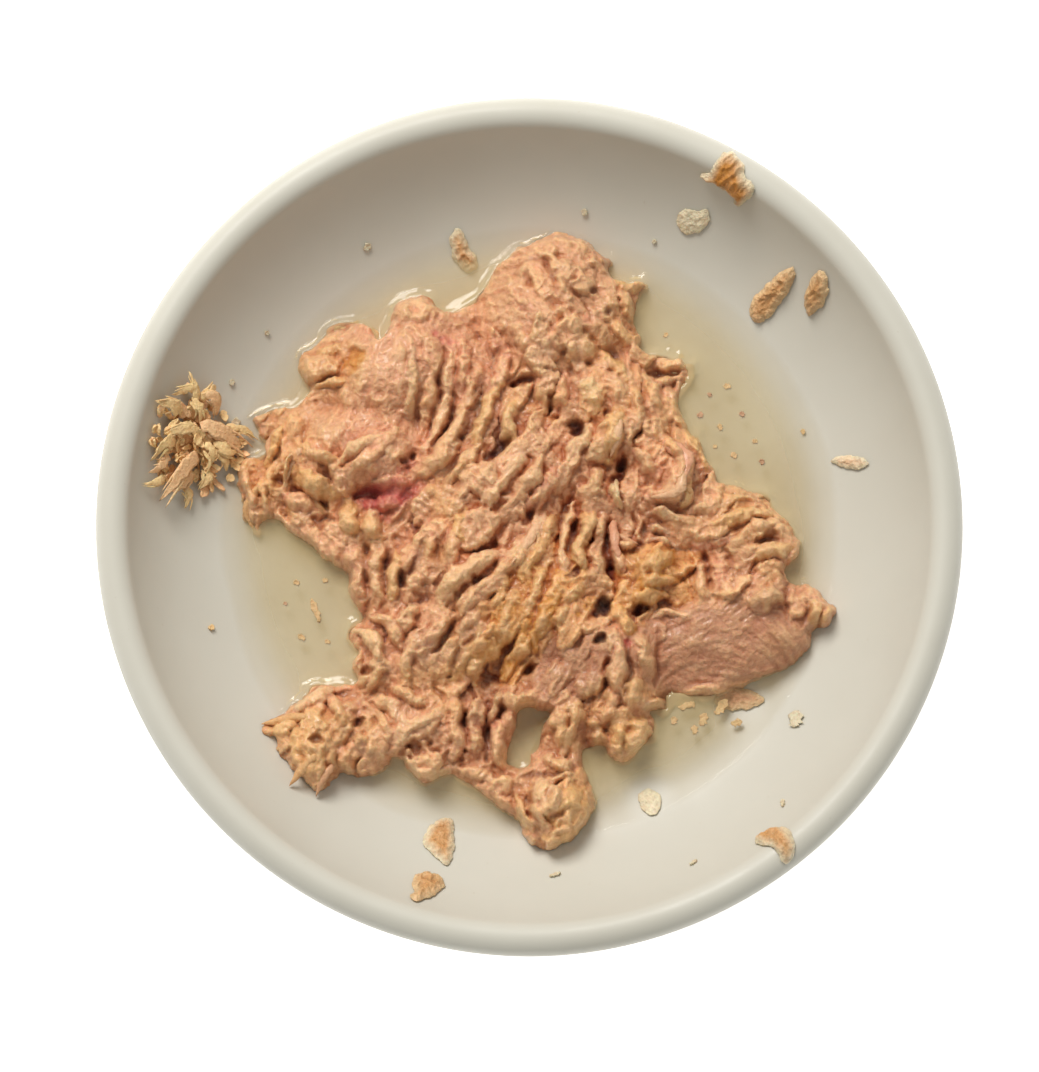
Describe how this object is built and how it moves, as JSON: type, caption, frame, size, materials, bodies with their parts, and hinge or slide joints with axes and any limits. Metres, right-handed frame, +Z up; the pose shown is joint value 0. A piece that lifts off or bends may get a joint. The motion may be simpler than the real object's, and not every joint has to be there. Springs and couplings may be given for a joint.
{
  "type": "dish of flaked wet pet food in broth",
  "caption": "Shallow round glazed dish with a rolled lip and foot ring, holding a heap of flaked wet meat in a thin pool of broth, with loose flakes on the wall.",
  "frame": {"origin": "centre of the circle that the foot ring stands on", "axes": "+Z up out of the dish; +Y towards the taller end of the heap, -Y towards the viewer"},
  "size_m": [0.15, 0.15, 0.0288],
  "materials": {
    "dish_glaze": "gloss",
    "broth": "gloss",
    "flaked_meat": "satin"
  },
  "bodies": {
    "root": {"dish": "dish_glaze", "broth": "broth", "food_heap": "flaked_meat", "flake_tuft": "flaked_meat", "flake_orange": "flaked_meat", "flake_gold": "flaked_meat", "flake_pale": "flaked_meat", "flake_long": "flaked_meat", "flake_short": "flaked_meat", "flake_thin": "flaked_meat", "flake_curled": "flaked_meat", "flake_tall": "flaked_meat", "flake_round": "flaked_meat", "flake_slab_edge": "flaked_meat", "flake_low_pale": "flaked_meat"}
  },
  "joints": []
}
